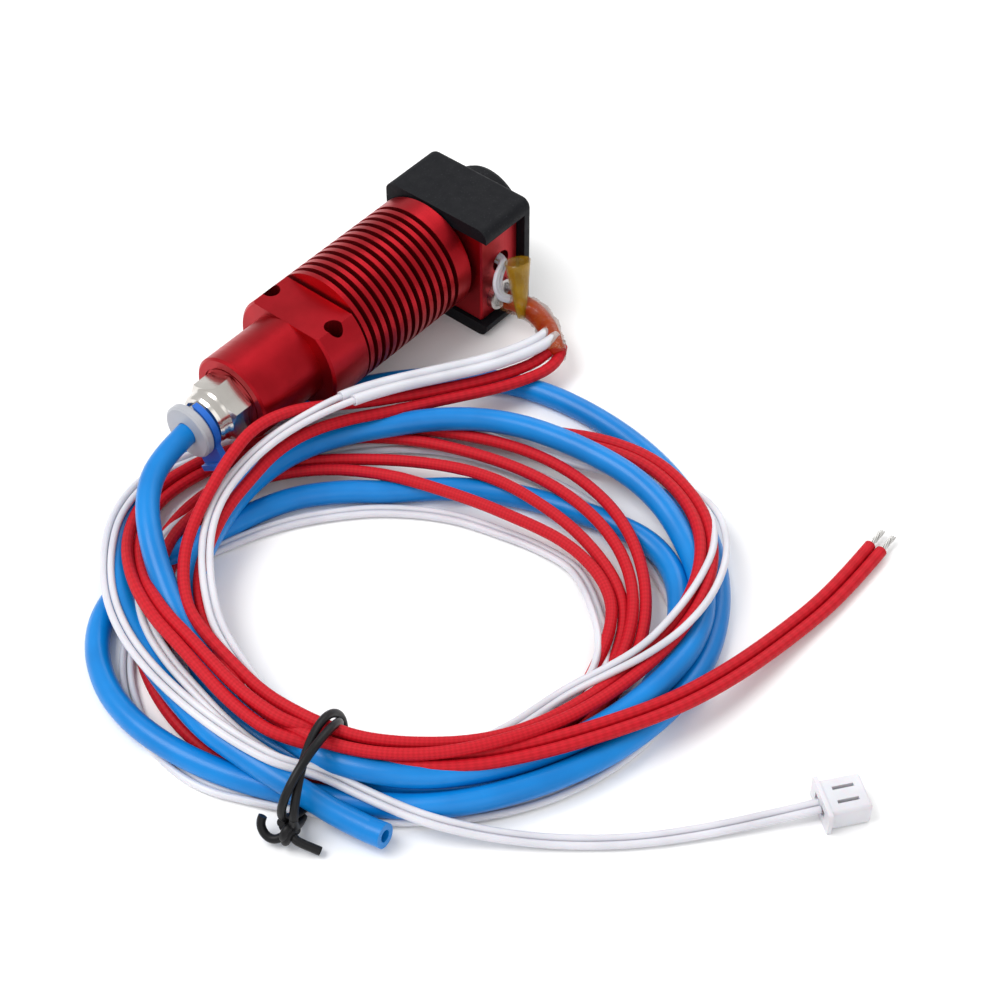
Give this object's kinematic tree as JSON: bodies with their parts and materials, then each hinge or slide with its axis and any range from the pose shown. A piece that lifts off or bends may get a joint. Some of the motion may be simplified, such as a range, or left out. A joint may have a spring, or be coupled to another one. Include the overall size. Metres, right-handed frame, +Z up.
{
  "type": "hotend assembly",
  "caption": "Finned cylindrical hotend with a silicone-covered heater block, a push-fit tube coupling, and its tube and wires coiled and tied beside it.",
  "frame": {"origin": "bottom middle of the hotend's own box, without its cords, on the surface that it lies on", "axes": "+X along the filament path towards the nozzle tip, +Z up, wires leaving on the -Y side"},
  "size_m": [0.1254, 0.1374, 0.0245],
  "materials": {
    "red_anodised": "satin anodised red with fine turning marks",
    "stainless": "bare steel",
    "nickel": "nickel-plated brass with turning marks",
    "brass": "turned brass",
    "silicone_black": "matt black silicone",
    "seal_black": "nitrile rubber",
    "tube_blue": "blue PTFE, waxy and slightly see-through",
    "collet_grey": "moulded light grey plastic",
    "clip_blue": "moulded blue plastic",
    "sensor_glass": "glass bead",
    "fibre_white": "white glass-fibre sleeving",
    "wire_white": "white fluoropolymer insulation",
    "braid_red": "red glass-fibre braid",
    "tape_amber": "amber polyimide film",
    "plug_white": "milky white moulded plastic",
    "contact_tin": "tin plate",
    "tie_black": "black plastic-covered wire"
  },
  "bodies": {
    "hotend": {"heat_sink": "red_anodised", "heat_break": "stainless", "tube_in_hotend": "tube_blue", "coupling_body": "nickel", "coupling_seal": "seal_black", "gripping_ring": "stainless", "heater_block": "red_anodised", "heater_cartridge": "stainless", "heater_grub_screw": "stainless", "temperature_sensor": "sensor_glass", "nozzle": "brass", "sensor_legs": "fibre_white", "tape_flag": "tape_amber", "tape_wrap": "tape_amber", "cord_hank": "tube_blue", "cable_tie": "tie_black", "plug_housing": "plug_white", "plug_contacts": "contact_tin", "heater_wire_bare_ends": "contact_tin", "tube_lead": "tube_blue", "tube_free_end": "tube_blue", "heater_wire_a_lead": "braid_red", "heater_wire_b_lead": "braid_red", "heater_wire_a_end": "braid_red", "heater_wire_b_end": "braid_red", "sensor_sleeve_a": "fibre_white", "sensor_sleeve_b": "fibre_white", "sensor_wire_a_lead": "wire_white", "sensor_wire_b_lead": "wire_white", "sensor_wire_a_end": "wire_white", "sensor_wire_b_end": "wire_white"},
    "sock": {"silicone_sock": "silicone_black"},
    "collet": {"collet": "collet_grey"},
    "clip": {"retaining_clip": "clip_blue"}
  },
  "joints": [
    {"name": "sock_slide", "type": "slide", "parent": "hotend", "child": "sock", "axis": [1, 0, 0], "range_m": [0, 0.022]},
    {"name": "collet_press", "type": "slide", "parent": "hotend", "child": "collet", "axis": [1, 0, 0], "range_m": [0, 0.0006]},
    {"name": "clip_swivel", "type": "hinge", "parent": "collet", "child": "clip", "pos_m": [-0.0374, 0.00145, 0.0135], "axis": [1, 0, 0], "range_deg": [0, 215]}
  ]
}
